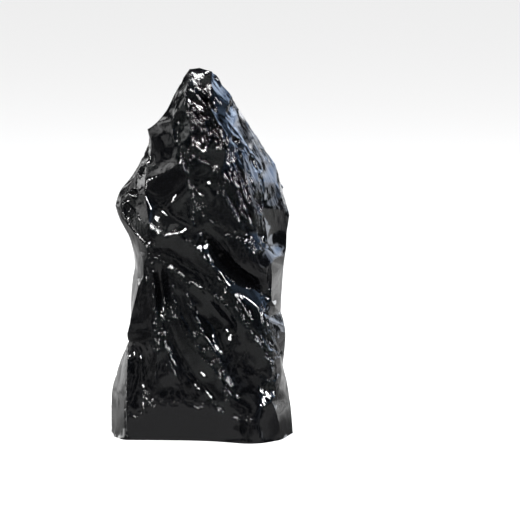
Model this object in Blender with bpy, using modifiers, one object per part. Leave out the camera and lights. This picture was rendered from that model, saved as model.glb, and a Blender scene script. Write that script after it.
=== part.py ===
# Rough block of obsidian, standing on its sawn base.
# Metres, +Z up. The origin is on the ground, under the middle of the block. -Y is the front.
#
# The block is drawn as a front relief and a back relief that share one outline. Every point is
# (across, up, back) in millimetres, read on an elevation seen from ELEVATION_TILT above the level.
# A ridge line stays sharp, and a point off the ridges is the floor or the swell of a flake scar.

import math

import bmesh
import bpy
from mathutils import Matrix, Vector
from mathutils.geometry import delaunay_2d_cdt

MM = 0.001
ELEVATION_TILT = math.radians(5.5)
MIDDLE_ACROSS = -0.25
MIDDLE_BACK = -5.7
SMOOTHING_LEVELS = 2
FACET_SHARE = 0.28
SAW_BLOCK = (140, 120, 20)
CHIP_ROUNDNESS = 2
CHIP_SPREAD = 1.5
CHIP_THICKNESS = 8.0
CHIP_STANDS_OFF = 3.0

OUTLINE = [
    (-6, 178, -6), (-1, 178.71, -5), (5, 176.8, -4), (8.5, 174.2, -3), (9.6, 170, -4),
    (13, 167.6, -4), (15, 164.3, -4), (17, 160, 3), (21.8, 153.3, 8), (26.6, 146.2, 10),
    (30.5, 139.5, 11), (35.8, 132.3, 9), (38.9, 123, 7), (41.2, 113, 4), (42.8, 107, 2),
    (41.5, 98, 0), (41.4, 91.5, -2), (40.7, 87, -4), (40, 83, 0), (39.4, 74, 3), (38.8, 66.5, 2),
    (38.6, 60, -4), (40.6, 54, -12), (41, 48, -13), (40.3, 40, -12), (39.6, 34, -6),
    (41.6, 26, 0), (43.4, 16, 2), (44.4, 4, 2), (44.6, -3.8, 2), (42, -5.3, -14),
    (37.6, -6.5, -26), (30.7, -7.5, -36.5), (25, -7.8, -39.5), (20, -7.8, -39.5),
    (13.6, -7.3, -34.5), (5, -6.8, -29.5), (-3.5, -6.6, -27), (-17, -6.5, -26),
    (-31, -6.4, -25.5), (-36.5, -6.4, -25), (-41, -6.2, -23), (-43.5, -5.2, -12),
    (-44.6, -3.3, 8), (-45, 6.6, 8), (-45, 14, 8), (-44.8, 22, 7), (-42.5, 29, 6),
    (-40.2, 37, 4), (-37.4, 42, 0), (-36.2, 45.5, -14), (-36.4, 49.3, -18),
    (-35.2, 54, -17), (-34.8, 59, -6), (-35.2, 68, 5), (-34.3, 77.5, 6), (-33, 81, 5),
    (-33.6, 88, 3), (-34.4, 92.6, -6), (-35.4, 96.5, -8), (-38, 101, -8),
    (-40.2, 104.5, -8), (-42.3, 111.4, -8), (-41, 117, -6), (-39.2, 120.5, -5),
    (-35.3, 124.4, -4), (-32.4, 129, -3), (-29.6, 134.2, -2), (-27.8, 139, -1),
    (-25.4, 142.3, -2), (-26.7, 148.8, -3), (-23, 151, -3), (-19.5, 155, -3),
    (-16.5, 159, -3), (-14, 165, -4), (-11, 170, -5), (-8.8, 174.4, -6),
]

FRONT_RIDGES = {
    "peak spine": [
        (-6, 178, -6), (-7, 170, -12), (-8.5, 164.5, -14), (-7.5, 161, -15), (-6, 154, -17.5),
        (-4.5, 147, -20), (-3.5, 140.5, -23), (2, 138, -25), (11, 133, -27.5),
    ],
    "streak rib": [(-7.5, 161, -15), (-3, 157.5, -16.5), (2, 151.5, -19.5), (4, 145, -22), (2, 138, -25)],
    "high streak rib": [
        (-7, 170, -12), (-2.5, 167, -13.5), (4, 160, -17), (9, 150, -20.5), (11, 141, -24.5),
    ],
    "peak notch": [(5, 176.8, -4), (4, 170.5, -11), (8, 164, -13), (13.4, 161, -9)],
    "right shoulder": [
        (15, 164.3, -4), (13.4, 161, -9), (12.6, 156, -12), (12.7, 152.5, -14), (14.7, 149.9, -15),
        (19.1, 143.4, -15), (21.8, 141, -14), (23.8, 137, -13.5), (25.6, 133.8, -13), (28.3, 130, -11),
        (29.4, 124, -14), (29.6, 117, -17), (28.5, 110.4, -20), (29.5, 104, -20), (30.4, 97.8, -20.5),
        (31.4, 91, -22),
    ],
    "blue facet split": [(26.6, 146.2, 10), (25.6, 141.4, -1), (23.8, 137, -13.5)],
    "blue facet foot": [(28.3, 130, -11), (32, 130.5, 0), (35.8, 132.3, 9)],
    "side facet rib": [(32, 130.5, 0), (36.9, 122.6, 0), (38.6, 118, -1), (40.6, 110.4, -1), (41.5, 98, 0)],
    "rough zone top": [(14.7, 149.9, -15), (13, 141, -24), (11, 133, -27.5), (9.2, 126.5, -30.5)],
    "arch": [
        (-7.5, 161, -15), (-11.6, 158, -12.5), (-14.4, 153.5, -11.5), (-14.3, 147, -14.5),
        (-12, 141.5, -17.5), (-9.5, 139, -21),
    ],
    "upper scar, left rim": [
        (-26.7, 148.8, -3), (-24.8, 144, -8), (-24.6, 139, -11), (-25.4, 134, -14),
        (-26.6, 129, -17.5), (-27.2, 124.2, -21),
    ],
    "heart facet, top": [
        (-9.5, 139, -21), (-4.8, 137, -24.5), (-0.5, 133.8, -26.5), (4, 130.8, -28), (9.2, 126.5, -30.5),
    ],
    "heart facet, right": [
        (9.2, 126.5, -30.5), (9.6, 121, -31), (7, 114.5, -32), (2.5, 110.8, -32.5), (-0.5, 112.5, -31),
    ],
    "crack": [
        (-9.5, 139, -21), (-7.8, 132.2, -23.5), (-6, 126.4, -25), (-4.8, 121, -26),
        (-4.2, 116.5, -28), (-0.5, 112.5, -31),
    ],
    "bowl, upper lip": [
        (-27.2, 124.2, -21), (-19, 126.3, -24), (-15.5, 129, -24.5), (-10.5, 131.8, -24.5),
        (-7.8, 132.2, -23.5),
    ],
    "bowl, left rim": [(-27.2, 124.2, -21), (-27.6, 119, -22), (-26.2, 108.2, -25), (-25.2, 102, -28)],
    "bowl, lower lip": [
        (-25.2, 102, -28), (-20.2, 97.6, -31), (-16.8, 96.6, -32), (-12.4, 98.6, -32.5), (-7.5, 95, -32.5),
    ],
    "bowl, right rim": [(-4.2, 116.5, -28), (-3.5, 108, -31), (-4, 101, -32), (-7.5, 95, -32.5)],
    "left wing, upper": [
        (-25.4, 134, -14), (-29.1, 132.8, -10), (-31.7, 127.7, -9), (-34.3, 123.8, -9),
        (-36.9, 117.7, -11), (-38.2, 114.5, -13), (-42.3, 111.4, -8),
    ],
    "left wing, lower": [
        (-31.7, 127.7, -9), (-31.4, 124.8, -11), (-32, 120.5, -13), (-35, 117.7, -13.5),
        (-38.2, 114.5, -13),
    ],
    "left wing, bright edge": [
        (-38.2, 114.5, -13), (-38.4, 106, -15), (-34.8, 101.5, -18), (-30.9, 96.6, -22), (-25.7, 91.7, -26),
    ],
    "left wing, shoulder": [(-27.6, 119, -22), (-31, 112, -18), (-34.8, 101.5, -18)],
    "bowl to corner": [(-25.2, 102, -28), (-26.5, 97, -26), (-25.7, 91.7, -26)],
    "left waist": [
        (-34.4, 92.6, -6), (-30, 89.5, -19), (-28.4, 86, -22), (-28, 80, -22.5), (-28.4, 75.8, -22),
        (-31.2, 72.5, -21), (-32.2, 66, -20.5), (-34, 60.5, -20), (-35.2, 54, -17),
    ],
    "left waist, fold": [
        (-34.4, 92.6, -6), (-31.9, 85, -9), (-31.6, 77, -10), (-33.5, 69, -8), (-34.8, 59, -6),
    ],
    "corner": [
        (-25.7, 91.7, -26), (-25, 87, -25.5), (-23.4, 79, -25), (-22.8, 70, -25), (-22.3, 60, -25.5),
        (-21.5, 50, -27), (-21.9, 38, -28), (-22.3, 27, -28.5), (-22, 16.5, -29),
    ],
    "left corner": [
        (-36.2, 45.5, -14), (-36, 39, -23), (-36.3, 28, -24), (-36.9, 12, -25), (-36.3, 4, -25.5),
        (-36.5, -6.4, -25),
    ],
    "left panel foot": [(-36.9, 12, -25), (-32, 9.5, -26), (-27, 10.5, -27.5), (-22, 16.5, -29)],
    "outer left strip": [(-37.4, 42, 0), (-40, 30, -6), (-41.5, 18, -9), (-42, 6, -12), (-43.5, -5.2, -12)],
    "basal facet, top": [
        (-22, 16.5, -29), (-15, 15.5, -29), (-8.8, 16, -29.5), (-1, 15, -30.5), (6, 15, -32),
        (12, 12, -34.5), (17, 10, -36.5), (22.2, 9, -38), (26.5, 7, -39.5), (30.7, -7.5, -36.5),
    ],
    "lower diagonal": [
        (-25, 87, -25.5), (-19, 84.5, -27.5), (-14.3, 81.5, -29), (-8.5, 76, -30.5), (-3, 73, -31.5),
        (4, 69, -32.5), (9.5, 65, -33), (12.7, 61.6, -33.5), (17.5, 55, -33.5), (22.4, 51, -32.5),
    ],
    "crescent, left rim": [
        (-19, 84.5, -27.5), (-16, 79, -28), (-15, 72, -28.5), (-14.2, 66, -28.8), (-11.5, 57.5, -29.3),
        (-8, 50.5, -30), (-4, 44.5, -31), (0.5, 38.5, -32), (5, 33.4, -33), (9, 28, -34.3),
        (12, 24, -35.7),
    ],
    "blade": [
        (-8.5, 76, -30.5), (-7.5, 70, -30.2), (-5.5, 62, -31), (-2.5, 55.5, -32), (0.7, 49, -32.6),
        (4, 42.5, -33.2), (7.5, 36.5, -33.8), (10.5, 31, -34.8), (12, 24, -35.7), (13, 17, -36),
        (12, 12, -34.5),
    ],
    "scoop valley": [
        (-5.5, 62, -31), (0, 58.5, -27), (5, 53.5, -26.5), (9.5, 48.5, -27.5), (16.3, 48, -32),
    ],
    "upper diagonal": [
        (-7.5, 95, -32.5), (-3, 92, -32), (0.3, 88, -32), (4.4, 83, -32.5), (8, 77.5, -33),
        (12.4, 70.5, -33), (15.6, 67.4, -33), (19.5, 60, -33), (21.9, 56, -33), (22.4, 51, -32.5),
        (25, 46, -33),
    ],
    "channel": [
        (-4, 101, -32), (-0.5, 100, -30), (3, 96.8, -28), (5.1, 93.4, -26.3), (8.5, 88, -25),
        (13, 83.5, -24.5),
        (18.5, 80, -24), (24.3, 75.6, -23.5), (29, 70, -22.8), (31, 64, -25), (29.2, 62, -29),
    ],
    "boss, lower lip": [
        (12, 90, -30), (16.4, 83.8, -31), (22.6, 78.4, -31), (27, 76.5, -30), (31, 77, -27),
        (33.8, 83, -23),
    ],
    "boss, upper lip": [
        (33.8, 83, -23), (31.4, 91, -22), (30, 92.5, -26), (24.5, 92.5, -30),
    ],
    "crumbled ridge": [
        (2.5, 110.8, -32.5), (4, 103, -32), (11.3, 102.6, -32.5), (16, 97, -32), (20.5, 98, -31),
        (24.5, 92.5, -30),
    ],
    "crumbled spur": [(11.3, 102.6, -32.5), (12, 90, -30)],
    "rough zone, left": [(9.6, 121, -31), (15, 110.4, -31.5), (17, 105, -31.5), (20.5, 98, -31)],
    "rough zone, first rib": [
        (13, 141, -24), (15.5, 130, -26.5), (17.5, 120, -28.5), (19.5, 111, -29.5), (21.5, 103, -29.5),
    ],
    "rough zone, second rib": [
        (19.1, 143.4, -15), (20, 134, -21.5), (22.5, 125, -24.5), (24, 115, -26), (25.5, 105, -26.5),
    ],
    "side ledge, top": [(31.4, 91, -22), (34.2, 92, -11), (41.4, 91.5, -2)],
    "side ledge, lip": [(33.8, 83, -23), (36.5, 86.5, -16), (40.7, 87, -4)],
    "side strip": [
        (33.8, 83, -23), (34.2, 78, -22), (33.7, 71, -22), (34, 65.2, -22), (35.6, 62.4, -20),
        (38.6, 60, -4),
    ],
    "right knob, rim": [
        (29.2, 62, -29), (31.5, 57, -29), (32.3, 52, -29), (33.5, 47.5, -28), (35.3, 42, -27),
        (38.3, 38.7, -20), (39.6, 34, -6),
    ],
    "right knob, crown": [(34, 65.2, -22), (31, 64, -25)],
    "speckled edge": [
        (25, 46, -33), (26, 49.5, -33), (28.5, 43.4, -33.5), (31.3, 40.2, -32), (33.1, 38, -31),
        (34.5, 33.4, -30), (34.8, 26.6, -31),
    ],
    "low valley": [
        (16.3, 48, -32), (20.6, 43, -31), (21.3, 36.6, -31), (26.3, 31.6, -31), (30.3, 28.7, -31),
        (34.8, 26.6, -31),
    ],
    "right corner": [
        (38.3, 38.7, -20), (38.9, 32.4, -20), (38.8, 27.2, -22), (37.6, 22.8, -25), (36.2, 20, -28),
        (34, 16.5, -31), (37, 10, -28), (38, 2, -26), (37.6, -6.5, -26),
    ],
    "crushed corner": [(22.2, 9, -38), (26, 13, -37), (30, 14.5, -35), (34, 16.5, -31)],
    "corner scar": [(-22.3, 60, -25.5), (-19.4, 58, -25), (-15.5, 55.5, -26), (-11.5, 57.5, -29.3)],
    "corner scar, rib": [
        (-19.4, 58, -25), (-18.2, 49, -27), (-16.4, 40, -28), (-14, 32, -28.5), (-11, 25, -28.5),
    ],
}

FRONT_FLOORS = [
    (0, 172.5, -8), (-3.5, 163, -12), (10, 157, -13), (0, 145, -18.5), (8, 143.5, -20), (6, 151, -16.5),
    (-10.5, 150, -11), (-19, 147, -9.5), (-18, 137, -15), (-18.5, 132.5, -16), (-21, 152, -5),
    (1.5, 123, -25), (-17, 117, -20.5), (-16, 107, -22.5), (-22, 110, -20.5), (-10, 120, -22),
    (-32, 110, -15), (-35.5, 108, -11.5), (-17, 91, -25.5), (-9, 86, -26.5), (1, 78, -28), (9, 70, -30),
    (-33, 88, -3), (-30, 80, -18), (-30, 69, -20), (-28.5, 60, -21), (-29, 38, -21.5), (-30.5, 28, -22),
    (-39, 34, -8), (-39.5, 12, -16), (-20.2, 79, -21.5), (-19.2, 72, -18.5), (-18.4, 65, -18.5),
    (-20.3, 50, -24), (-19.8, 38, -25), (-10.3, 67, -26.5),
    (-7.2, 58.5, -28), (-3.8, 51.5, -28.3), (0.3, 44.5, -28.8), (4, 38.3, -29.8), (8.3, 32.3, -31.6),
    (-13.5, 47, -24), (-9, 38, -24.3), (-4, 31, -26), (2.5, 26.5, -28.5), (-12, 75, -27),
    (-1, 21, -27.8), (6, 20, -30.8), (-15, 22, -25.5),
    (-2.5, 68.5, -28.3), (4, 63, -27), (9.5, 57.5, -27), (14, 52.5, -27.5), (6, 45.5, -30),
    (12, 38, -31.5), (16, 38, -30.4), (20, 27, -31.5), (28, 21, -32.8), (14, 29, -31), (25, 40, -31),
    (5, 90, -28.5), (12, 79.5, -30.5), (20, 68, -31), (26, 60, -30.5), (25, 85, -34), (20, 90, -32),
    (18, 84, -32.5), (9, 96, -30), (6.5, 108, -30), (14, 116, -28.5), (18.5, 139, -18), (25, 128, -17),
    (26.5, 114, -21), (27, 98, -24), (33.5, 115, -8), (35, 102, -7), (37, 75, -10), (36.5, 51, -21),
    (31.5, 47, -30), (35.5, 31, -27), (40.5, 20, -10), (41, 4, -12), (31, 5, -34), (19, 155, -3),
    (24, 143, -3.5), (30, 136, 0), (22.5, 108, -27.5), (37.5, 90, -9),
    (-10, 4, -27.5), (8, 4, -31.5), (-28, 2, -26),
]

BACK_RIDGES = {
    "back spine": [
        (-1, 178.71, -5), (-3, 168, 1), (1, 157, 7), (-4, 146, 13), (2, 134, 19), (9, 122, 24),
        (5, 108, 26.5), (12, 95, 27.5), (7, 80, 27), (-3, 66, 28), (2, 52, 28), (-5, 38, 27),
        (3, 22, 28), (-1, 10, 28), (-4, -1.3, 28),
    ],
    "back left, first": [(-4, 146, 13), (-13, 148, 8.5), (-26.7, 148.8, -3)],
    "back left, second": [(2, 134, 19), (-9, 127, 18.5), (-20, 118, 16), (-32, 112, 7), (-42.3, 111.4, -8)],
    "back left, third": [(5, 108, 26.5), (-8, 103, 24), (-20, 93, 20), (-33.6, 88, 3)],
    "back left, fourth": [(-3, 66, 28), (-14, 72, 24), (-24, 80, 18), (-33.6, 88, 3)],
    "back left, fifth": [(-5, 38, 27), (-17, 46, 25), (-27, 52, 19), (-36.4, 49.3, -18)],
    "back left, sixth": [(-1, 10, 28), (-14, 16, 26.5), (-28, 24, 23), (-42.5, 29, 6)],
    "back right, first": [(1, 157, 7), (11, 154, 9.5), (26.6, 146.2, 10)],
    "back right, second": [(9, 122, 24), (20, 124, 21), (30, 129, 15), (35.8, 132.3, 9)],
    "back right, third": [(12, 95, 27.5), (24, 98, 23), (34, 103, 14), (42.8, 107, 2)],
    "back right, fourth": [(7, 80, 27), (20, 74, 25), (31, 72, 18), (39.4, 74, 3)],
    "back right, fifth": [(2, 52, 28), (15, 48, 27), (28, 42, 24), (40.3, 40, -12)],
    "back right, sixth": [(3, 22, 28), (16, 26, 27), (30, 24, 24.5), (41.6, 26, 0)],
    "back right corner": [(30, 24, 24.5), (37, 12, 23.5), (40.5, -1.8, 22.5)],
    "back left corner": [(-28, 24, 23), (-35, 12, 21.5), (-39, -2, 21)],
    "back foot": [
        (-44.6, -3.3, 8), (-39, -2, 21), (-28, -1.6, 25), (-4, -1.3, 28), (16, -1.4, 27),
        (30, -1.5, 26), (40.5, -1.8, 22.5), (44.6, -3.8, 2),
    ],
}

BACK_FLOORS = [
    (-9, 160, 0), (8, 166, -0.5), (14, 140, 11.5), (22, 136, 9), (-15, 138, 8), (-8, 139, 11),
    (-14, 111, 15.5), (-27, 102, 8), (-19, 84, 15), (-14, 60, 20.5), (-26, 64, 11),
    (16, 110, 19.5), (28, 115, 13), (20, 85, 19.5), (33, 88, 9), (16, 62, 21.5), (30, 57, 15),
    (18, 37, 23), (33, 33, 17), (-18, 32, 21), (-34, 38, 11), (-18, 6, 23.5), (14, 12, 24.5),
    (-40, 14, 14), (41, 12, 14), (-4, 88, 24), (0, 118, 20),
]

# Narrow flakes struck off the front: (across, up, back, length, width, lean in degrees).
CHIPS = [
    (-2.5, 168, -13, 17, 2.2, -52), (2, 164, -15, 16, 2.2, -52), (-4.5, 159.5, -16, 14, 2.2, -56),
    (0.5, 156, -18, 17, 2.4, -56), (-2, 150.5, -20, 15, 2.2, -60), (3, 153, -19.5, 13, 2.2, -58),
    (6, 146.5, -22, 13, 2.2, -60), (9.5, 149.5, -20.5, 12, 2.4, -62), (11, 142.5, -24.5, 9, 3, -60),
    (3, 178, -6, 6, 4, -20), (8.5, 173, -5, 7, 4, -65), (14.5, 165.5, -6, 7, 4, -60),
    (-10.5, 170.5, -6, 8, 4, 55), (-13, 148, -14.5, 10, 3, -75), (-26, 137, -13, 9, 5, -80),
    (-31, 129, -10, 9, 5, -40), (-36, 119, -13, 11, 4, -30), (-29, 95, -24.5, 10, 4, -20),
    (-22.5, 99.5, -31, 10, 4, -60),
    (-14, 98, -33, 7, 4, 30), (-8, 97.5, -33, 10, 5, -55), (-4, 106, -31.5, 9, 4, -80),
    (4, 111, -33, 8, 4, -70), (9.6, 120, -31.5, 10, 4, -80), (5.5, 104, -32.5, 12, 4, -62),
    (9, 101, -33, 9, 4, -40), (12.5, 96, -32, 12, 4, -62), (17, 97, -32, 8, 4, 20),
    (22.5, 95, -31, 9, 4, -65), (14, 116, -30, 13, 3.5, -72), (17.5, 109, -30.5, 12, 3, -70),
    (21, 114, -28, 14, 3, -72), (19.5, 128, -25, 14, 3, -70), (15, 134, -26, 12, 3.5, -70),
    (25, 122, -23.5, 11, 3, -75), (20, 142, -16, 8, 5, -30), (27, 131.5, -13, 9, 4, -60),
    (29.5, 114, -18.5, 12, 4, -85), (30.5, 96, -20.8, 9, 4, -70), (33.8, 74, -22, 12, 3, -88),
    (-16.5, 83, -29, 10, 3.5, -60), (-8.5, 76.5, -31, 11, 4, -58), (-0.5, 71.5, -32.5, 10, 3.5, -60),
    (7, 67, -33.3, 9, 4, -55), (14.5, 59, -34, 12, 4, -60), (0.3, 88.5, -32.5, 10, 3.5, -60),
    (7, 79, -33.5, 12, 3.5, -60), (15.5, 67.5, -33.5, 10, 4, -62), (21.5, 56, -33.5, 10, 4, -75),
    (-15, 71, -28.5, 13, 3, -82), (-9.5, 53.5, -29.7, 11, 4, -66), (-1, 40.5, -31.7, 10, 3.5, -60),
    (-6.3, 65, -30.8, 10, 3.5, -75), (1, 48.5, -32.7, 12, 3.5, -64), (6, 38.6, -33.6, 12, 3.5, -62),
    (12, 23, -36, 9, 4, -70), (-22.3, 66, -25.5, 14, 3.5, -86), (-21.8, 40, -28.5, 14, 3.5, -84),
    (-36.2, 33, -24.5, 12, 4, -86), (-28.2, 79, -22.7, 9, 4, -75), (-17, 15.7, -29.5, 8, 4, -30),
    (-4, 15.3, -30.5, 9, 3.5, -40), (8, 14, -33.5, 8, 4, -50), (15.5, 10.8, -36.5, 7, 4, -40),
    (24, 9, -39, 6, 4, 0), (27, 46.5, -33.8, 10, 4, -60), (33, 37.5, -31.5, 9, 4, -65),
    (36, 21, -28.5, 8, 4, -60), (35, 44, -27.5, 9, 4, -65), (30.5, 15.2, -35.3, 7, 4, -30),
]


def clear_scene():
    for old in list(bpy.data.objects):
        bpy.data.objects.remove(old)


def obsidian():
    material = bpy.data.materials.new("obsidian")
    material.use_nodes = True
    shader = material.node_tree.nodes["Principled BSDF"]
    shader.inputs["Base Color"].default_value = (0.006, 0.006, 0.007, 1.0)
    shader.inputs["Roughness"].default_value = 0.06
    shader.inputs["Metallic"].default_value = 0.0
    return material


def relief(ridges, floors):
    """Triangulates one side of the block on the elevation. Returns its points, triangles and sharp edges."""
    points = {(p[0], p[1]): p for p in OUTLINE}
    lines = list(ridges.values())
    for line in lines + [floors]:
        for p in line:
            known = points.setdefault((p[0], p[1]), p)
            if known != p:
                raise ValueError(f"two depths at {p[:2]}: {known[2]} and {p[2]}")
    keys = list(points)
    index = {key: i for i, key in enumerate(keys)}
    sharp = [(index[a[:2]], index[b[:2]]) for line in lines for a, b in zip(line, line[1:])]
    border = [index[p[:2]] for p in OUTLINE]
    flat = [Vector(key) for key in keys]
    found, _, triangles, came_from, _, _ = delaunay_2d_cdt(flat, sharp, [border[::-1]], 1, 1e-5, True)
    if len(found) != len(flat):
        crossings = [tuple(round(c, 2) for c in v) for v, ids in zip(found, came_from) if not ids]
        raise ValueError(f"ridge lines cross away from a point: {crossings}")
    order = [ids[0] for ids in came_from]
    triangles = [[order[i] for i in t] for t in triangles]
    return [points[key] for key in keys], triangles, sharp


def to_block(point):
    """From (across, up, back) on the elevation to the block's own frame, in metres."""
    across, up, back = point
    level = up / math.cos(ELEVATION_TILT) - back * math.tan(ELEVATION_TILT)
    return Vector((across - MIDDLE_ACROSS, back - MIDDLE_BACK, level)) * MM


def block_cage():
    cage = bmesh.new()
    crease = cage.edges.layers.float.new("crease_edge")
    border = {p: cage.verts.new(to_block(p)) for p in OUTLINE}
    sides = []
    for ridges, floors in ((FRONT_RIDGES, FRONT_FLOORS), (BACK_RIDGES, BACK_FLOORS)):
        points, triangles, sharp = relief(ridges, floors)
        verts = [border.get(p) or cage.verts.new(to_block(p)) for p in points]
        sides.append((verts, triangles, sharp))
    drawn = [{frozenset(verts[i] for i in t) for t in triangles} for verts, triangles, _ in sides]
    flaps = drawn[0] & drawn[1]
    for (verts, triangles, sharp), faces_front in zip(sides, (True, False)):
        for triangle in triangles:
            corners = [verts[i] for i in triangle]
            if frozenset(corners) not in flaps:
                face = cage.faces.new(corners if faces_front else corners[::-1])
                face.material_index = 0 if faces_front else 1
        for a, b in sharp:
            edge = cage.edges.get((verts[a], verts[b]))
            if edge:
                edge[crease] = 1.0
    for edge in cage.edges:
        if len({face.material_index for face in edge.link_faces}) == 2:
            edge[crease] = 1.0
    for face in cage.faces:
        face.material_index = 0
    bmesh.ops.delete(cage, geom=[v for v in cage.verts if not v.link_faces], context="VERTS")
    bmesh.ops.recalc_face_normals(cage, faces=cage.faces)
    mesh = bpy.data.meshes.new("obsidian_block")
    cage.to_mesh(mesh)
    cage.free()
    return mesh


def add_object(name, mesh, collection):
    thing = bpy.data.objects.new(name, mesh)
    collection.objects.link(thing)
    return thing


def add_collection(name):
    collection = bpy.data.collections.new(name)
    bpy.context.scene.collection.children.link(collection)
    return collection


def add_cutter(name, mesh, collection):
    cutter = add_object(name, mesh, collection)
    cutter.hide_render = True
    cutter.display_type = "WIRE"
    return cutter


def saw_block(collection):
    """The box that cuts the flat base."""
    box = bmesh.new()
    bmesh.ops.create_cube(box, size=1.0)
    wide, deep, tall = (side * MM for side in SAW_BLOCK)
    bmesh.ops.scale(box, verts=box.verts, vec=(wide, deep, tall))
    bmesh.ops.translate(box, verts=box.verts, vec=(0.0, 0.0, -tall / 2))
    mesh = bpy.data.meshes.new("saw block")
    box.to_mesh(mesh)
    box.free()
    return add_cutter("saw block", mesh, collection)


def chip_cutter(number, chip, collection):
    """One narrow flake, as a long ellipsoid that leans in the plane of the front and dips into it."""
    across, up, back, length, width, lean = chip
    flake = bmesh.new()
    bmesh.ops.create_icosphere(flake, subdivisions=CHIP_ROUNDNESS, radius=MM / 2)
    sides = (length * CHIP_SPREAD, CHIP_THICKNESS, width * CHIP_SPREAD)
    bmesh.ops.scale(flake, verts=flake.verts, vec=sides)
    turn = Matrix.Rotation(math.radians(-lean), 4, "Y")
    place = Matrix.Translation(to_block((across, up, back - CHIP_STANDS_OFF)))
    bmesh.ops.transform(flake, matrix=place @ turn, verts=flake.verts)
    mesh = bpy.data.meshes.new(f"flake {number}")
    flake.to_mesh(mesh)
    flake.free()
    add_cutter(f"flake {number}", mesh, collection)


def add_smoothing(block):
    smooth = block.modifiers.new("smooth scars", "SUBSURF")
    smooth.levels = SMOOTHING_LEVELS
    smooth.render_levels = SMOOTHING_LEVELS
    fewer = block.modifiers.new("fewer facets", "DECIMATE")
    fewer.ratio = FACET_SHARE


def add_cuts(block, saw, flakes):
    knock = block.modifiers.new("narrow flakes", "BOOLEAN")
    knock.operation = "DIFFERENCE"
    knock.solver = "EXACT"
    knock.operand_type = "COLLECTION"
    knock.collection = flakes
    cut = block.modifiers.new("sawn base", "BOOLEAN")
    cut.operation = "DIFFERENCE"
    cut.solver = "EXACT"
    cut.object = saw


def main():
    clear_scene()
    shown = add_collection("obsidian block")
    cutters = add_collection("cutters")
    flakes = bpy.data.collections.new("flakes")
    cutters.children.link(flakes)
    block = add_object("obsidian_block", block_cage(), shown)
    block.data.materials.append(obsidian())
    for number, chip in enumerate(CHIPS, 1):
        chip_cutter(number, chip, flakes)
    add_smoothing(block)
    add_cuts(block, saw_block(cutters), flakes)


main()
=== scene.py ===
import math

import bmesh
import bpy
from mathutils import Matrix, Vector, kdtree, noise


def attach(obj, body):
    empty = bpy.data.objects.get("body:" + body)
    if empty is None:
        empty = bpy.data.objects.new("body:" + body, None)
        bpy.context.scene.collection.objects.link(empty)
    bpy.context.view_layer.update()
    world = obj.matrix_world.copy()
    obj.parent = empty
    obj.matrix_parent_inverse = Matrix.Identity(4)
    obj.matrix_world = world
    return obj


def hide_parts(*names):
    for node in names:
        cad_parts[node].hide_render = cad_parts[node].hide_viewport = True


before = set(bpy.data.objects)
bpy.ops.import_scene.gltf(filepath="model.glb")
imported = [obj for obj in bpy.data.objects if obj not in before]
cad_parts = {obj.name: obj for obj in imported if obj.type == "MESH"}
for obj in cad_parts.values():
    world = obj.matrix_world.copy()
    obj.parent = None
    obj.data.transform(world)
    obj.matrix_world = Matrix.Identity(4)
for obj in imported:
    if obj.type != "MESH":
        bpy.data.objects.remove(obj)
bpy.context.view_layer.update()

mm = 0.001

# The photograph is an elevation seen from a little above the level.
# Places on the block are (across, up) in millimetres on that elevation.
picture = {
    "tilt": math.radians(5.5),
    "widthShown": 0.2537,
    "distance": 2.5,
    "sensor": 36.0,
    "aim": (28.55, 85.6),
    "middleAcross": 0.25,
    "middleBack": 5.7,
}

# Shape of the stone below the size of the solid's own scars, lengths in millimetres.
stone = {
    "seed": 5,
    "ridgeAngle": math.radians(24),
    "mergeWithin": 0.01,
    "onBase": 0.01,
    "fineAbove": 0.3,
    "ridgesAbove": 0.5,
    "facingFront": {"refined": 0.1, "glinting": 0.2, "weathered": 0.3},
    "spacing": {"glint": 0.7, "crushed": 0.7, "streaked": 0.8, "front": 1.7, "rear": 3.2},
    "halvings": 9,
    "smoothing": 4,
    "crushReach": 2.2,
    "crushDepth": 0.85,
    "lineStep": 0.8,
    "chipSize": (3.6, 1.9, 2.4),
    "chipTilt": 1.3,
    "chipTurn": Matrix.Rotation(math.radians(-56), 3, "Y"),
    "patches": {"front": 6.0, "rear": 8.0},
    "streakDepth": 0.75,
    "streakWidth": 2.6,
    "streakLength": 22.0,
    "streakWander": (0.9, 18.0, 9.0),
    "fineStreaksFrom": 0.15,
    "rearStreaks": 0.6,
    "rearStreakSize": 18.0,
    "rippleDepth": 0.05,
    "rippleLength": 5.5,
    "rippleSpread": 26.0,
    "ripplePatches": 9.0,
    "glintReach": 2.2,
    "glintRoom": 1.0,
    "glintSink": 0.15,
    "glintBack": 0.3,
    "glintDepth": 2.0,
    "glintEdge": 0.03,
    "cutWithin": 0.02,
    "squareness": 0.2,
    "swellDepth": 0.25,
    "swellSize": 11.0,
    "footHeight": 1.5,
    "shadeAngle": math.radians(22),
}

# Where the broken surface is streaked: (across, up, half length, half width, lean, strength).
streakAreas = [
    (2, 166, 13, 8, -54, 0.22), (1, 152, 12, 8, -56, 0.3), (9, 146, 9, 5, -60, 0.6),
    (20, 125, 22, 6, -72, 1.0), (14, 115, 14, 5, -70, 0.8), (24, 110, 13, 5, -72, 0.9),
    (10, 103, 10, 6, -60, 0.8), (-14, 66, 14, 4, -76, 0.7), (-6, 50, 18, 4, -60, 0.6),
    (3, 40, 16, 4, -58, 0.8), (-16, 38, 16, 4, -74, 0.6), (10, 90, 16, 4, -50, 0.6),
    (20, 60, 12, 4, -60, 0.5), (28, 45, 12, 4, -60, 0.6), (33, 50, 12, 3, -65, 0.6),
    (37, 112, 16, 5, -75, 0.3), (30, 141, 16, 5, -60, 0.25), (-33, 105, 12, 4, -55, 0.5),
    (11, 26, 9, 4, -60, 0.8),
]

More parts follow.
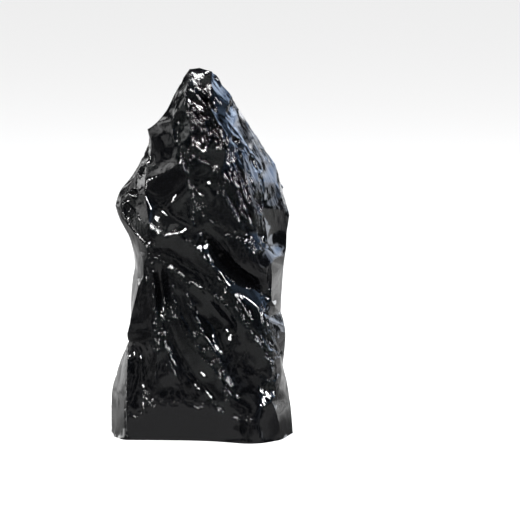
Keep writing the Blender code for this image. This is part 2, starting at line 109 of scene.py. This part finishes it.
# Crushed lines on the front: half width of the crushing, then (across, up) along it.
crushedLines = {
    "lower diagonal": (2.4, [
        (-25, 87), (-19, 84.5), (-14, 81.5), (-8.5, 76), (-3, 73), (4, 69), (9.5, 65),
        (12.7, 61.6), (17.5, 55), (22.4, 51),
    ]),
    "upper diagonal": (2.0, [
        (-7.5, 95), (-3, 92), (0.3, 88), (4.4, 83), (8, 77.5), (12.4, 70.5), (15.6, 67.4),
        (19.5, 60), (22, 55), (25, 46),
    ]),
    "crack": (1.4, [
        (-9.5, 139), (-7.8, 132), (-6, 126.4), (-4.8, 121), (-4.2, 116.5), (-3.5, 108),
        (-4, 101), (-7.5, 95),
    ]),
    "bowl lip": (1.0, [(-25.2, 102), (-20.2, 97.6), (-16.8, 96.6), (-12.4, 98.6), (-7.5, 95)]),
    "heart": (0.8, [
        (-9.5, 139), (-4.8, 137), (-0.5, 133.8), (4, 130.8), (9.2, 126.5), (9.6, 121),
        (7, 114.5), (2.5, 110.8),
    ]),
    "crumbled zone": (3.2, [
        (-1, 111), (4, 104), (10, 101), (16, 97), (21, 96), (24.5, 92.5), (30, 92),
    ]),
    "channel": (1.6, [
        (-0.5, 100), (5, 93.4), (8.5, 88), (13, 83.5), (18.5, 80), (24.3, 75.6), (29, 70),
    ]),
    "blade": (1.5, [
        (-8.5, 76), (-7.5, 70), (-5.5, 62), (-2.5, 55.5), (0.7, 49), (4, 42.5), (7.5, 36.5),
        (10.5, 31), (12, 24), (13, 17),
    ]),
    "crescent": (1.3, [
        (-19, 84.5), (-16, 79), (-15, 72), (-14.2, 66), (-11.5, 57.5), (-8, 50.5), (-4, 44.5),
        (0.5, 38.5), (5, 33.4), (9, 28), (12, 24),
    ]),
    "corner": (1.5, [
        (-25.7, 91.7), (-24, 82), (-22.8, 70), (-22.3, 60), (-21.5, 50), (-21.9, 38),
        (-22.3, 27), (-22, 16.5),
    ]),
    "left foot": (2.0, [(-36.9, 12), (-32, 10.5), (-27, 12.5), (-22, 16.5)]),
    "left foot, bruise": (2.2, [(-28.5, 24), (-27.5, 19), (-24, 16)]),
    "left corner": (1.3, [(-36.2, 45.5), (-36.3, 28), (-36.9, 12), (-36.5, 0)]),
    "above the foot": (2.0, [
        (-22, 16.5), (-15, 15.5), (-8.8, 16), (-1, 15), (6, 15), (12, 12), (17, 10),
        (22, 9), (26, 7),
    ]),
    "speckled edge": (2.2, [
        (22.4, 51), (26, 49.5), (28.5, 43.4), (31.3, 40), (33, 38), (34.5, 33.4),
        (34.8, 26.6), (37, 22),
    ]),
    "knob, edge": (1.6, [(30, 68), (31, 64), (29.2, 62)]),
    "knob": (2.0, [(29.2, 62), (31.5, 57), (32.3, 52), (33.5, 47.5), (35.3, 42), (38.3, 38.7)]),
    "wing": (1.1, [
        (-25.4, 134), (-29.1, 132.8), (-31.7, 127.7), (-35, 122), (-38.2, 114.5),
        (-38.4, 106), (-34.8, 101.5), (-30.9, 96.6), (-25.7, 91.7),
    ]),
    "shoulder": (1.4, [
        (15, 163), (13, 157), (14, 150), (19, 143.4), (23.8, 137), (28.3, 130), (29.5, 120),
        (28.5, 110), (30.4, 98), (31.4, 91),
    ]),
    "inner rib": (1.6, [(-22, 60), (-16, 55.5), (-18, 49), (-16.4, 40), (-14, 32), (-11, 25)]),
    "low valley": (1.5, [
        (16, 48), (20.6, 43), (21.3, 36.6), (26.3, 31.6), (30.3, 28.7), (34.8, 26.6),
    ]),
    "peak": (0.9, [(-6, 176), (-7, 170), (-7.5, 161), (-6, 154), (-4.5, 147), (-3.5, 140.5)]),
}

# Narrow flat breaks that shine: half width, then (across, up) along each.
glints = [
    (0.8, [(-4.5, 174), (-2.8, 170.5), (-0.5, 167)]),
    (0.45, [(-6.4, 168.7), (-3, 166), (0, 162.8)]),
    (0.7, [(-7, 163.6), (-4.5, 159.7), (-1, 156.2), (2.7, 152.9)]),
    (0.4, [(-5.5, 157.6), (-2.5, 154), (0.5, 151)]),
    (0.4, [(-4.6, 153.6), (-1.8, 150.4), (0.9, 147)]),
    (0.6, [(2.7, 150.8), (5.5, 147)]),
    (0.7, [(6, 152), (9.5, 147)]),
    (0.8, [(7.5, 150.5), (11.5, 144)]),
    (0.6, [(6.5, 148), (9.5, 143)]),
    (0.4, [(2.7, 167.6), (5.2, 165)]),
    (0.35, [(10.5, 142), (13, 137)]),
    (0.35, [(14, 128), (16, 121)]),
    (0.35, [(18, 120), (19.5, 114)]),
    (0.35, [(21.5, 127), (22.5, 121)]),
    (0.45, [(23, 108), (24.2, 102)]),
    (0.35, [(16, 112), (18.5, 106)]),
    (0.45, [(-25, 102.4), (-22.6, 100), (-20.2, 97.9)]),
    (0.5, [(-18, 97), (-14.5, 97.8), (-11, 98.2)]),
    (0.5, [(-10, 97), (-7.5, 94.8)]),
    (0.35, [(-38, 105), (-34.8, 101.5), (-31, 96.8), (-26, 91.7)]),
    (0.5, [(-36.5, 114.2), (-35.2, 113)]),
    (0.45, [(-31, 107.5), (-29.5, 104)]),
    (0.7, [(-16, 82.6), (-13.8, 81)]),
    (0.6, [(-20, 59), (-16, 55.5)]),
    (0.45, [(-19, 55), (-17.2, 50)]),
    (0.6, [(-17.5, 46.5), (-17, 42)]),
    (0.5, [(-15.5, 38), (-14.5, 34)]),
    (0.6, [(6.6, 43.8), (8.5, 41.5), (10.9, 39)]),
    (1.3, [(26, 48.6), (28.6, 45.4)]),
    (0.4, [(19.5, 60), (21.3, 56), (22.4, 51)]),
    (1.0, [(27.3, 23.8), (30.5, 21.2), (33.5, 18.7)]),
    (0.6, [(16.5, 20.5), (18, 18.5)]),
    (0.45, [(-8, 29.5), (-4, 25.5), (0, 21.5)]),
    (0.4, [(-6, 31), (-2.5, 26.5)]),
    (0.45, [(-1, 31), (2.5, 28)]),
    (0.4, [(8.5, 29.5), (9.5, 27)]),
    (0.4, [(10, 27), (11.5, 23.5)]),
    (0.4, [(12, 27.5), (13, 25.5)]),
    (0.35, [(-3, 63), (-1.4, 58)]),
    (0.35, [(-11.5, 80), (-8, 77)]),
    (0.35, [(-3.5, 74), (0, 71.5)]),
    (0.35, [(1, 87.5), (3.5, 83.5)]),
    (0.35, [(6, 80.5), (9, 75.5)]),
    (0.4, [(31.8, 56.5), (32.5, 52)]),
    (0.4, [(30, 42.5), (32.5, 38.8)]),
]


def onElevation(point):
    # millimetres across and up on the photograph's elevation
    across = point.x / mm - picture["middleAcross"]
    back = point.y / mm - picture["middleBack"]
    up = point.z / mm * math.cos(picture["tilt"]) + back * math.sin(picture["tilt"])
    return across, up


def smoothStep(low, high, value):
    t = min(max((value - low) / (high - low), 0.0), 1.0)
    return t * t * (3.0 - 2.0 * t)


def mergedCopy(node):
    block = bmesh.new()
    block.from_mesh(node.data)
    bmesh.ops.remove_doubles(block, verts=block.verts, dist=stone["mergeWithin"] * mm)
    for edge in block.edges:
        edge.smooth = edge.calc_face_angle(0.0) < stone["ridgeAngle"]
    return block


def spacingFinder():
    # how fine the facets are at a place on the front, finest where there are glints
    lines, widths = crushedTree()
    shiny = glintTree()
    known = {}

    def spacingAt(across, up):
        cell = (round(across * 2), round(up * 2))
        if cell not in known:
            _, index, distance = lines.find((across, up, 0.0))
            if shiny.find((across, up, 0.0))[2] < stone["glintReach"]:
                known[cell] = stone["spacing"]["glint"]
            elif distance < widths[index]:
                known[cell] = stone["spacing"]["crushed"]
            elif streakStrength(across, up)[0] > stone["fineStreaksFrom"]:
                known[cell] = stone["spacing"]["streaked"]
            else:
                known[cell] = stone["spacing"]["front"]
        return known[cell]

    return spacingAt


def refine(block):
    # halves long edges until the facets are small enough, ridges stay where they are
    spacingAt = spacingFinder()
    least = min(stone["spacing"].values())
    limit = stone["facingFront"]["refined"]
    for _ in range(stone["halvings"]):
        block.normal_update()
        longEdges = []
        for edge in block.edges:
            length = edge.calc_length() / mm
            if length <= least:
                continue
            middle = (edge.verts[0].co + edge.verts[1].co) / 2
            seen = any(face.normal.y < limit for face in edge.link_faces)
            fine = seen and middle.z > stone["fineAbove"] * mm
            wanted = spacingAt(*onElevation(middle)) if fine else stone["spacing"]["rear"]
            if length > wanted:
                longEdges.append(edge)
        if not longEdges:
            break
        bmesh.ops.subdivide_edges(block, edges=longEdges, cuts=1, use_single_edge=True)
        wide = [face for face in block.faces if len(face.verts) > 3]
        bmesh.ops.triangulate(block, faces=wide)


def onRidge(vert):
    return any(not edge.smooth for edge in vert.link_edges)


def smoothScars(block):
    # takes the flat facets out of the scars, with ridges and foot left alone
    loose = [v for v in block.verts if v.co.z > stone["onBase"] * mm and not onRidge(v)]
    for _ in range(stone["smoothing"]):
        bmesh.ops.smooth_vert(
            block, verts=loose, factor=0.5, use_axis_x=True, use_axis_y=True, use_axis_z=True
        )


def treeOf(places):
    tree = kdtree.KDTree(len(places))
    for i, place in enumerate(places):
        tree.insert(place, i)
    tree.balance()
    return tree


def ridgeTree(block):
    lowest = stone["ridgesAbove"] * mm
    return treeOf([v.co for v in block.verts if onRidge(v) and v.co.z > lowest])


def glintSteps():
    # each stroke as straight steps: half width, start and end on the elevation
    steps = []
    for halfWidth, line in glints:
        for start, end in zip(line, line[1:]):
            steps.append((halfWidth, Vector(start).to_3d(), Vector(end).to_3d()))
    return steps


def glintTree():
    return treeOf([a.lerp(b, t) for _, a, b in glintSteps() for t in (0.0, 0.5, 1.0)])


def lampFacings():
    # the directions a facet faces to send each lamp's light to the camera
    towardsCamera = Vector((0.0, -math.cos(picture["tilt"]), math.sin(picture["tilt"])))
    facings = []
    for _, place, _, _, _ in studio["lights"]:
        if place[1] < 0.0:
            towardsLamp = (Vector(place) - Vector(studio["lampAim"])).normalized()
            facings.append((towardsLamp + towardsCamera).normalized())
    return facings


def ownPlace(point):
    return Vector((*onElevation(point), 0.0))


def elevationPoint(place):
    # a point in the middle plane of the block that the photograph shows at this place
    level = place.y / math.cos(picture["tilt"])
    return Vector((place.x + picture["middleAcross"], picture["middleBack"], level)) * mm


def intoStone(direction):
    # a direction on the elevation, in the block's own frame
    tilt = picture["tilt"]
    return Vector((direction.x, direction.y * math.sin(tilt), direction.y * math.cos(tilt)))


def bestFacing(normal, along):
    # the lamp that a break along this line reaches with the least dip along itself
    def awkwardness(facing):
        slope = facing / max(facing.dot(normal), stone["squareness"]) - normal
        return abs(slope.dot(along)) + slope.length / 4

    return min(lampFacings(), key=awkwardness)


def unique(parts):
    # once each and always in the same order
    return list(dict.fromkeys(parts))


def breakGlint(block, front, tree, step):
    halfWidth, start, end = step
    middle, along = (start + end) / 2, (end - start).normalized()
    halfLength = (end - start).length / 2
    aside = Vector((-along.y, along.x, 0.0))
    found = tree.find_range(middle, halfLength + halfWidth + stone["glintRoom"])
    verts = [front[i] for _, i, _ in found]
    if len(verts) < 4:
        return
    normal = sum((v.normal for v in verts), Vector()).normalized()
    facing = bestFacing(normal, intoStone(along))
    slope = facing / facing.dot(normal) - normal
    if slope.dot(intoStone(aside)) < 0.0:
        aside = -aside
    faces = unique(face for vert in verts for face in vert.link_faces)
    edges = unique(edge for face in faces for edge in face.edges)
    geometry = faces + edges + unique(vert for face in faces for vert in face.verts)
    back = halfWidth + stone["glintBack"]
    for direction, distance in ((-aside, halfWidth), (aside, halfWidth), (aside, back)):
        cut = bmesh.ops.bisect_plane(
            block, geom=geometry, dist=stone["cutWithin"] * mm,
            plane_co=elevationPoint(middle + direction * distance), plane_no=intoStone(direction)
        )
        geometry = cut["geom"]
    inside = []
    for vert in unique(part for part in geometry if isinstance(part, bmesh.types.BMVert)):
        away = ownPlace(vert.co) - middle
        if abs(away.dot(along)) < halfLength and abs(away.dot(aside)) < halfWidth + stone["glintEdge"]:
            inside.append(vert)
    if not inside:
        return
    heights = sorted(vert.co.dot(facing) for vert in inside)
    level = heights[int(len(heights) * stone["glintSink"])]
    for vert in inside:
        depth = (vert.co.dot(facing) - level) / facing.dot(normal)
        vert.co -= normal * min(max(depth, 0.0), stone["glintDepth"] * mm)


def breakGlints(block):
    block.normal_update()
    limit, lowest = stone["facingFront"]["glinting"], stone["footHeight"] * mm
    front = [v for v in block.verts if v.normal.y < limit and v.co.z > lowest]
    tree = treeOf([ownPlace(vert.co) for vert in front])
    for step in glintSteps():
        breakGlint(block, front, tree, step)
    wide = [face for face in block.faces if len(face.verts) > 3]
    bmesh.ops.triangulate(block, faces=wide)


def crushedTree():
    # points along the crushed lines, each with the half width there
    points, widths = [], []
    for width, line in crushedLines.values():
        for start, end in zip(line, line[1:]):
            start, end = Vector(start).to_3d(), Vector(end).to_3d()
            steps = max(int((end - start).length / stone["lineStep"]), 1)
            for i in range(steps):
                points.append(start.lerp(end, i / steps))
                widths.append(width)
    return treeOf(points), widths


def crushed(point):
    # small flat chips, each with its own depth and tilt, drawn out down to the right
    along, aside, out = stone["chipSize"]
    turned = stone["chipTurn"] @ point / mm
    place = Vector((turned.x / along, turned.y / out, turned.z / aside))
    _, centres = noise.voronoi(place)
    own = noise.noise_vector(centres[0] * 7.3)
    away = place - centres[0]
    return 0.5 + 0.7 * own.x + stone["chipTilt"] * own.dot(away)


def streakStrength(across, up):
    best, lean = 0.0, -60.0
    for areaAcross, areaUp, halfLength, halfWidth, areaLean, strength in streakAreas:
        angle = math.radians(areaLean)
        dx, dy = across - areaAcross, up - areaUp
        along = (dx * math.cos(angle) + dy * math.sin(angle)) / halfLength
        aside = (-dx * math.sin(angle) + dy * math.cos(angle)) / halfWidth
        inside = strength * (1.0 - smoothStep(0.5, 1.0, math.hypot(along, aside)))
        if inside > best:
            best, lean = inside, areaLean
    return best, lean


def rearStreaks(point):
    return stone["rearStreaks"] * smoothStep(0.0, 0.4, noise.noise(point / (stone["rearStreakSize"] * mm)))


def streak(across, up, lean):
    # thin ribs that run with the lean and wander a little, always into the stone
    angle = math.radians(lean)
    along = across * math.cos(angle) + up * math.sin(angle)
    aside = -across * math.sin(angle) + up * math.cos(angle)
    wanders, length, width = stone["streakWander"]
    wander = wanders * noise.noise(Vector((along / length, aside / width, 3.1)))
    rib = noise.noise(Vector(((aside + wander) / stone["streakWidth"], along / stone["streakLength"], 0.7)))
    return abs(rib) * 2.0


def ripple(point):
    # arcs that spread from the nearest blow, as on a shell
    spread = stone["rippleSpread"]
    _, centres = noise.voronoi(point / (spread * mm))
    reach = (point / mm - centres[0] * spread).length
    wave = math.sin(reach * 2.0 * math.pi / stone["rippleLength"])
    return wave * (0.5 + 0.5 * noise.noise(point / (stone["ripplePatches"] * mm)))


def weather(block):
    ridges = ridgeTree(block)
    lines, widths = crushedTree()
    block.normal_update()
    streaked = block.verts.layers.float.new("streaked")
    broken = block.verts.layers.float.new("broken")
    moves = []
    for vert in block.verts:
        point = vert.co
        across, up = onElevation(point)
        footing = smoothStep(0.0, stone["footHeight"], point.z / mm)
        inFront = vert.normal.y < stone["facingFront"]["weathered"]
        if inFront:
            _, index, distance = lines.find((across, up, 0.0))
            near = 1.0 - smoothStep(0.35, 1.0, distance / widths[index])
            patch = smoothStep(-0.35, 0.05, noise.noise(point / (stone["patches"]["front"] * mm)))
        else:
            _, _, distance = ridges.find(point)
            near = 1.0 - smoothStep(0.0, 1.0, distance / mm / stone["crushReach"])
            patch = smoothStep(-0.15, 0.25, noise.noise(point / (stone["patches"]["rear"] * mm)))
        depth = near * patch * stone["crushDepth"] * crushed(point) if near > 0.0 else 0.0
        strength, lean = streakStrength(across, up) if inFront else (0.0, 0.0)
        vert[streaked] = min(2.0 * strength, 1.0) if inFront else rearStreaks(point)
        vert[broken] = near * patch
        if strength > 0.0:
            depth += strength * stone["streakDepth"] * streak(across, up, lean)
        depth += stone["rippleDepth"] * (1.0 + ripple(point))
        depth += stone["swellDepth"] * (0.5 + 0.5 * noise.noise(point / (stone["swellSize"] * mm)))
        moves.append(vert.normal * (-depth * footing * mm))
    for vert, move in zip(block.verts, moves):
        if vert.co.z > stone["onBase"] * mm:
            vert.co += move


def finishedMesh(block, name):
    mesh = bpy.data.meshes.new(name)
    for edge in block.edges:
        edge.smooth = True
    block.to_mesh(mesh)
    block.free()
    for face in mesh.polygons:
        face.use_smooth = True
    mesh.set_sharp_from_angle(angle=stone["shadeAngle"])
    return mesh


def addNode(nodes, kind, **values):
    node = nodes.new(kind)
    for key, value in values.items():
        setattr(node, key, value)
    return node


def mathNode(nodes, links, operation, first, second):
    node = addNode(nodes, "ShaderNodeMath", operation=operation)
    for socket, value in zip(node.inputs, (first, second)):
        if isinstance(value, (int, float)):
            socket.default_value = value
        else:
            links.new(value, socket)
    return node.outputs["Value"]


def rangeNode(nodes, links, value, fromMin, fromMax, toMin, toMax):
    node = addNode(nodes, "ShaderNodeMapRange", interpolation_type="SMOOTHSTEP")
    links.new(value, node.inputs["Value"])
    node.inputs["From Min"].default_value = fromMin
    node.inputs["From Max"].default_value = fromMax
    node.inputs["To Min"].default_value = toMin
    node.inputs["To Max"].default_value = toMax
    return node.outputs["Result"]


glass = {
    "colour": (0.0015, 0.0016, 0.0020, 1.0),
    "clearRoughness": 0.045,
    "frostRoughness": 0.16,
    "ior": 1.5,
    "bump": 1.0,
    "bumpDepth": 0.4,
    "grain": {"Grain": 900.0, "Streaks": 800.0, "Frost": 90.0, "Streaked": 1.0, "Broken": 1.0},
    "ribTurn": math.radians(58),
    "ribStretch": (12.0, 1.0, 1.0),
    "ribsEverywhere": 0.13,
    "frosting": (0.55, 0.72),
}


def grainGroup():
    # fine grain of the break: a height for the bump and a mask for frosted patches
    group = bpy.data.node_groups.new("brokenGrain", "ShaderNodeTree")
    group.interface.new_socket("Vector", in_out="INPUT", socket_type="NodeSocketVector")
    for name, default in glass["grain"].items():
        socket = group.interface.new_socket(name, in_out="INPUT", socket_type="NodeSocketFloat")
        socket.default_value = default
    group.interface.new_socket("Height", in_out="OUTPUT", socket_type="NodeSocketFloat")
    group.interface.new_socket("Frosted", in_out="OUTPUT", socket_type="NodeSocketFloat")
    nodes, links = group.nodes, group.links
    start = nodes.new("NodeGroupInput")
    end = nodes.new("NodeGroupOutput")
    turn = addNode(nodes, "ShaderNodeMapping", vector_type="TEXTURE")
    turn.inputs["Rotation"].default_value = (0.0, glass["ribTurn"], 0.0)
    turn.inputs["Scale"].default_value = glass["ribStretch"]
    links.new(start.outputs["Vector"], turn.inputs["Vector"])
    streaks = addNode(nodes, "ShaderNodeTexNoise")
    streaks.inputs["Detail"].default_value = 2.0
    links.new(turn.outputs["Vector"], streaks.inputs["Vector"])
    links.new(start.outputs["Streaks"], streaks.inputs["Scale"])
    grain = addNode(nodes, "ShaderNodeTexVoronoi")
    links.new(start.outputs["Vector"], grain.inputs["Vector"])
    links.new(start.outputs["Grain"], grain.inputs["Scale"])
    frost = addNode(nodes, "ShaderNodeTexNoise")
    frost.inputs["Detail"].default_value = 5.0
    links.new(start.outputs["Vector"], frost.inputs["Vector"])
    links.new(start.outputs["Frost"], frost.inputs["Scale"])
    frosted = addNode(nodes, "ShaderNodeMapRange")
    frosted.inputs["From Min"].default_value, frosted.inputs["From Max"].default_value = glass["frosting"]
    links.new(frost.outputs["Fac"], frosted.inputs["Value"])
    crumbled = mathNode(nodes, links, "MULTIPLY", frosted.outputs["Result"], start.outputs["Broken"])
    crumbs = mathNode(nodes, links, "MULTIPLY", grain.outputs["Distance"], crumbled)
    streaky = mathNode(nodes, links, "ADD", start.outputs["Streaked"], glass["ribsEverywhere"])
    ribs = mathNode(nodes, links, "MULTIPLY", streaks.outputs["Fac"], streaky)
    links.new(mathNode(nodes, links, "ADD", ribs, crumbs), end.inputs["Height"])
    links.new(crumbled, end.inputs["Frosted"])
    return group


def obsidianMaterial():
    material = bpy.data.materials.new("obsidian")
    material.use_nodes = True
    nodes, links = material.node_tree.nodes, material.node_tree.links
    shader = nodes["Principled BSDF"]
    shader.inputs["Base Color"].default_value = glass["colour"]
    shader.inputs["IOR"].default_value = glass["ior"]
    place = addNode(nodes, "ShaderNodeTexCoord")
    grain = addNode(nodes, "ShaderNodeGroup", node_tree=grainGroup())
    links.new(place.outputs["Object"], grain.inputs["Vector"])
    for name in ("Streaked", "Broken"):
        mask = addNode(nodes, "ShaderNodeAttribute", attribute_name=name.lower())
        links.new(mask.outputs["Fac"], grain.inputs[name])
    roughness = addNode(nodes, "ShaderNodeMapRange")
    roughness.inputs["To Min"].default_value = glass["clearRoughness"]
    roughness.inputs["To Max"].default_value = glass["frostRoughness"]
    links.new(grain.outputs["Frosted"], roughness.inputs["Value"])
    links.new(roughness.outputs["Result"], shader.inputs["Roughness"])
    bump = addNode(nodes, "ShaderNodeBump")
    bump.inputs["Strength"].default_value = glass["bump"]
    bump.inputs["Distance"].default_value = glass["bumpDepth"] * mm
    links.new(grain.outputs["Height"], bump.inputs["Height"])
    links.new(bump.outputs["Normal"], shader.inputs["Normal"])
    return material


def makeBlock():
    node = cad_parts["obsidian_block"]
    noise.seed_set(stone["seed"])
    block = mergedCopy(node)
    refine(block)
    smoothScars(block)
    weather(block)
    breakGlints(block)
    print("obsidian:", len(block.faces), "facets")
    piece = bpy.data.objects.new("obsidian", finishedMesh(block, "obsidian"))
    bpy.context.scene.collection.objects.link(piece)
    piece.data.materials.append(obsidianMaterial())
    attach(piece, "root")
    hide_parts("obsidian_block")
    return piece


studio = {
    "floorSize": 30.0,
    "floorColour": (0.93, 0.93, 0.93, 1.0),
    # painted light: how strongly the floor glows in the glass, near and far, in patches and paler behind
    "floorInGlass": (0.30, 0.12),
    "floorFades": (0.1, 1.4),
    "floorGlowPatches": 5.0,
    "floorGlowPatchRange": (0.4, 0.6),
    "floorGlowUneven": (0.25, 1.6),
    "floorBehind": (0.0, 0.4),
    "floorBehindInGlass": 0.45,
    "fill": 0.9,
    "frontAndBehind": (0.12, 1.0),
    "behindFades": (-0.35, 0.75),
    "overhead": 0.12,
    "overheadFades": (0.55, 0.95),
    "upperLeft": 0.03,
    "leftFades": (0.1, -0.6),
    "upFades": (0.05, 0.6),
    "clutter": (0.03, 3.0),
    "clutterScale": 5.0,
    "clutterRange": (0.42, 0.6),
    "sky": (0.45, 0.64, 1.0, 1.0),
    "skyFades": (0.1, 0.8),
    "skyRises": (0.08, 0.4),
    "skyLow": 0.25,
    "lampAim": (0.0, 0.0, 0.09),
    "lampLean": 57.0,
    "lights": [
        # name, place, size, power, colour
        ("key", (-0.45, -0.95, 1.55), (0.045, 0.55), 16.0, (1.0, 1.0, 1.0)),
        ("high", (0.3, -0.5, 1.6), (0.07, 0.5), 12.0, (1.0, 1.0, 1.0)),
        ("low", (-1.1, -1.0, 0.45), (0.05, 0.3), 6.0, (1.0, 1.0, 1.0)),
        ("right", (1.32, -0.52, 0.73), (0.055, 0.6), 15.0, (0.97, 0.98, 1.0)),
        ("window", (0.95, 0.95, 0.9), (0.7, 0.5), 3.0, (0.70, 0.82, 1.0)),
    ],
}


def makeFloor():
    size = studio["floorSize"]
    shape = bmesh.new()
    bmesh.ops.create_grid(shape, x_segments=1, y_segments=1, size=size / 2)
    mesh = bpy.data.meshes.new("floor")
    shape.to_mesh(mesh)
    shape.free()
    floor = bpy.data.objects.new("floor", mesh)
    bpy.context.scene.collection.objects.link(floor)
    material = bpy.data.materials.new("floor")
    material.use_nodes = True
    nodes, links = material.node_tree.nodes, material.node_tree.links
    paper = nodes["Principled BSDF"]
    paper.inputs["Base Color"].default_value = studio["floorColour"]
    paper.inputs["Roughness"].default_value = 0.9
    paper.inputs["Specular IOR Level"].default_value = 0.0
    # to the glass the floor is a glow, not the lit paper: painted light, stronger near the block, in
    # patches and paler behind
    path = addNode(nodes, "ShaderNodeLightPath")
    seen = addNode(nodes, "ShaderNodeEmission")
    place = addNode(nodes, "ShaderNodeTexCoord")
    away = addNode(nodes, "ShaderNodeVectorMath", operation="LENGTH")
    links.new(place.outputs["Object"], away.inputs[0])
    glow = rangeNode(nodes, links, away.outputs["Value"], *studio["floorFades"], *studio["floorInGlass"])
    patches = addNode(nodes, "ShaderNodeTexNoise")
    patches.inputs["Scale"].default_value = studio["floorGlowPatches"]
    patches.inputs["Detail"].default_value = 1.0
    links.new(place.outputs["Object"], patches.inputs["Vector"])
    patchy = patches.outputs["Fac"]
    uneven = rangeNode(nodes, links, patchy, *studio["floorGlowPatchRange"], *studio["floorGlowUneven"])
    glow = mathNode(nodes, links, "MULTIPLY", glow, uneven)
    axes = addNode(nodes, "ShaderNodeSeparateXYZ")
    links.new(place.outputs["Object"], axes.inputs["Vector"])
    paleness = studio["floorBehindInGlass"]
    rear = rangeNode(nodes, links, axes.outputs["Y"], *studio["floorBehind"], 0.0, paleness)
    links.new(mathNode(nodes, links, "ADD", glow, rear), seen.inputs["Strength"])
    mix = addNode(nodes, "ShaderNodeMixShader")
    links.new(path.outputs["Is Glossy Ray"], mix.inputs["Fac"])
    links.new(paper.outputs["BSDF"], mix.inputs[1])
    links.new(seen.outputs["Emission"], mix.inputs[2])
    links.new(mix.outputs["Shader"], nodes["Material Output"].inputs["Surface"])
    mesh.materials.append(material)


def makeWorld():
    # plain and pale to the camera, a dim room in front and a pale one behind in the glass
    world = bpy.data.worlds.new("studio")
    bpy.context.scene.world = world
    world.use_nodes = True
    nodes, links = world.node_tree.nodes, world.node_tree.links
    background = nodes["Background"]
    place = addNode(nodes, "ShaderNodeTexCoord")
    axes = addNode(nodes, "ShaderNodeSeparateXYZ")
    links.new(place.outputs["Generated"], axes.inputs["Vector"])
    behind = rangeNode(nodes, links, axes.outputs["Y"], *studio["behindFades"], *studio["frontAndBehind"])
    overhead = rangeNode(nodes, links, axes.outputs["Z"], *studio["overheadFades"], 0.0, studio["overhead"])
    leftward = rangeNode(nodes, links, axes.outputs["X"], *studio["leftFades"], 0.0, 1.0)
    upward = rangeNode(nodes, links, axes.outputs["Z"], *studio["upFades"], 0.0, studio["upperLeft"])
    corner = mathNode(nodes, links, "MULTIPLY", leftward, upward)
    clutter = addNode(nodes, "ShaderNodeTexNoise")
    clutter.inputs["Scale"].default_value = studio["clutterScale"]
    clutter.inputs["Detail"].default_value = 1.5
    links.new(place.outputs["Generated"], clutter.inputs["Vector"])
    uneven = rangeNode(nodes, links, clutter.outputs["Fac"], *studio["clutterRange"], *studio["clutter"])
    plainRoom = mathNode(nodes, links, "ADD", behind, corner)
    room = mathNode(nodes, links, "ADD", mathNode(nodes, links, "MULTIPLY", plainRoom, uneven), overhead)
    path = addNode(nodes, "ShaderNodeLightPath")
    soft = addNode(nodes, "ShaderNodeMix")
    links.new(path.outputs["Is Glossy Ray"], soft.inputs["Factor"])
    soft.inputs["A"].default_value = studio["fill"]
    links.new(room, soft.inputs["B"])
    links.new(soft.outputs["Result"], background.inputs["Strength"])
    tint = addNode(nodes, "ShaderNodeMix", data_type="RGBA")
    bluish = rangeNode(nodes, links, axes.outputs["X"], *studio["skyFades"], 0.0, 1.0)
    above = rangeNode(nodes, links, axes.outputs["Z"], *studio["skyRises"], studio["skyLow"], 1.0)
    bluish = mathNode(nodes, links, "MULTIPLY", bluish, above)
    inGlass = mathNode(nodes, links, "MULTIPLY", bluish, path.outputs["Is Glossy Ray"])
    links.new(inGlass, tint.inputs["Factor"])
    tint.inputs["A"].default_value = (1.0, 1.0, 1.0, 1.0)
    tint.inputs["B"].default_value = studio["sky"]
    links.new(tint.outputs["Result"], background.inputs["Color"])


def makeLights():
    for name, place, size, power, colour in studio["lights"]:
        lamp = bpy.data.lights.new(name, "AREA")
        lamp.shape = "RECTANGLE"
        lamp.size, lamp.size_y = size
        lamp.energy = power
        lamp.color = colour
        holder = bpy.data.objects.new(name, lamp)
        bpy.context.scene.collection.objects.link(holder)
        holder.location = place
        away = (Vector(place) - Vector(studio["lampAim"])).normalized()
        lean = math.radians(studio["lampLean"])
        upright = Vector((-math.cos(lean), 0.0, math.sin(lean)))
        longWay = (upright - away * upright.dot(away)).normalized()
        holder.rotation_euler = Matrix((longWay.cross(away), longWay, away)).transposed().to_euler()


def makeCamera():
    tilt = picture["tilt"]
    across, up = picture["aim"]
    aim = Vector((across * mm, 0.0, up * mm / math.cos(tilt)))
    towards = Vector((0.0, -math.cos(tilt), math.sin(tilt)))
    lens = bpy.data.cameras.new("camera")
    lens.sensor_width = picture["sensor"]
    lens.lens = picture["sensor"] * picture["distance"] / picture["widthShown"]
    lens.clip_end = 60.0
    camera = bpy.data.objects.new("camera", lens)
    bpy.context.scene.collection.objects.link(camera)
    camera.location = aim + towards * picture["distance"]
    camera.rotation_euler = (-towards).to_track_quat("-Z", "Y").to_euler()
    bpy.context.scene.camera = camera


def makeStudio():
    makeFloor()
    makeWorld()
    makeLights()
    makeCamera()
    bpy.context.scene.view_settings.view_transform = "Standard"


makeBlock()
print("block made")
makeStudio()
print("studio made")
